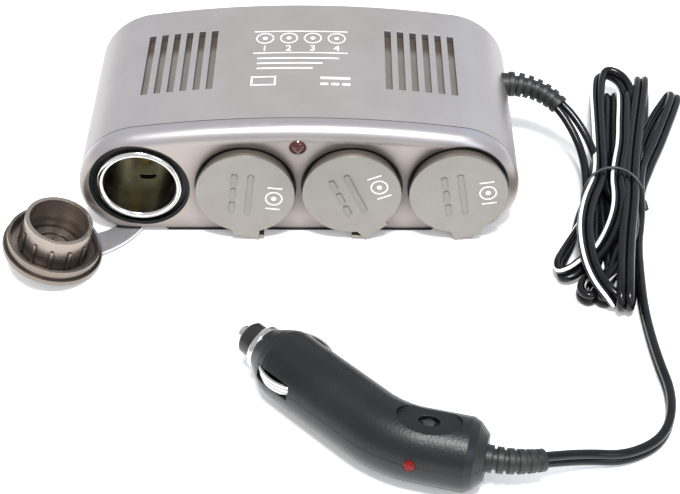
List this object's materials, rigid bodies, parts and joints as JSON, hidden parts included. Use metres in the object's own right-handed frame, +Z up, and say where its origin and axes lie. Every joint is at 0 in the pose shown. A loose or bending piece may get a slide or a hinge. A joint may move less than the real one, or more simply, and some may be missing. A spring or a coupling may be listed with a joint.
{
  "type": "cigarette lighter socket splitter",
  "caption": "Arched silver housing with a row of 12 V lighter sockets under tethered caps, on a flat twin cord tied in a hank that ends in a bent fused plug.",
  "frame": {"origin": "on the table under the middle of the housing, in the underside of the base plate", "axes": "+X to the right along the row of sockets, +Y from the sockets to the back wall, +Z up"},
  "size_m": [0.2141, 0.1859, 0.0394],
  "materials": {
    "case_silver": "satin silver lacquer",
    "cap_grey": "matte, warm grey",
    "black_plastic": "satin",
    "soft_black": "satin, soft",
    "cord_black": "glossy, one core striped white",
    "wire_black": "satin",
    "socket_metal": "plated, bright at the rim",
    "bright_plate": "nickel plated",
    "plain_steel": "zinc plated",
    "contact_brass": "plain",
    "washer_board": "pressed board",
    "board_green": "lacquered board",
    "lamp_red": "clear red",
    "fuse_glass": "clear, metal ends"
  },
  "bodies": {
    "housing": {"top_cover": "case_silver", "lower_case": "case_silver", "front_panel": "case_silver", "socket_collar_1": "black_plastic", "socket_barrel_1": "socket_metal", "socket_insulator_1": "washer_board", "socket_contact_1": "contact_brass", "socket_collar_2": "black_plastic", "socket_barrel_2": "socket_metal", "socket_insulator_2": "washer_board", "socket_contact_2": "contact_brass", "socket_collar_3": "black_plastic", "socket_barrel_3": "socket_metal", "socket_insulator_3": "washer_board", "socket_contact_3": "contact_brass", "socket_collar_4": "black_plastic", "socket_barrel_4": "socket_metal", "socket_insulator_4": "washer_board", "socket_contact_4": "contact_brass", "base_plate": "black_plastic", "case_screws": "plain_steel", "ground_bus": "plain_steel", "positive_bus": "contact_brass", "panel_led": "lamp_red", "led_board": "board_green", "led_wires": "wire_black", "supply_wires": "wire_black", "case_relief": "soft_black", "cord_lead_in": "cord_black", "cord_hank": "cord_black", "cord_lead_out": "cord_black", "cord_tie": "cord_black", "plug_relief": "soft_black", "plug_shell_upper": "black_plastic", "plug_shell_lower": "black_plastic", "plug_ring": "bright_plate", "plug_nose": "black_plastic", "tip_spring": "plain_steel", "plug_led": "lamp_red", "plug_screw": "plain_steel"},
    "cap_1": {"socket_cap_1": "cap_grey"},
    "cap_2": {"socket_cap_2": "cap_grey"},
    "cap_3": {"socket_cap_3": "cap_grey"},
    "cap_4": {"socket_cap_4": "cap_grey"},
    "tip": {"plug_tip": "bright_plate", "plug_fuse": "fuse_glass"},
    "contact_near": {"plug_contact_near": "bright_plate"},
    "contact_far": {"plug_contact_far": "bright_plate"}
  },
  "joints": [
    {"name": "cap_1_swing", "type": "hinge", "parent": "housing", "child": "cap_1", "pos_m": [-0.0449, -0.02, 0.0012], "axis": [0, 0, 1], "range_deg": [-12, 0]},
    {"name": "cap_2_pull", "type": "slide", "parent": "housing", "child": "cap_2", "axis": [0, -1, 0], "range_m": [0, 0.012]},
    {"name": "cap_3_pull", "type": "slide", "parent": "housing", "child": "cap_3", "axis": [0, -1, 0], "range_m": [0, 0.012]},
    {"name": "cap_4_pull", "type": "slide", "parent": "housing", "child": "cap_4", "axis": [0, -1, 0], "range_m": [0, 0.012]},
    {"name": "tip_press", "type": "slide", "parent": "housing", "child": "tip", "axis": [0.723, -0.6909, 0], "range_m": [0, 0.002], "stiffness_N_per_m": 1500, "springref_m": -0.001, "deforming": ["tip_spring"]},
    {"name": "contact_near_press", "type": "slide", "parent": "housing", "child": "contact_near", "axis": [0.6909, 0.723, 0], "range_m": [0, 0.0012], "stiffness_N_per_m": 1500, "springref_m": -0.0005},
    {"name": "contact_far_press", "type": "slide", "parent": "housing", "child": "contact_far", "axis": [-0.6909, -0.723, 0], "range_m": [0, 0.0012], "stiffness_N_per_m": 1500, "springref_m": -0.0005}
  ]
}
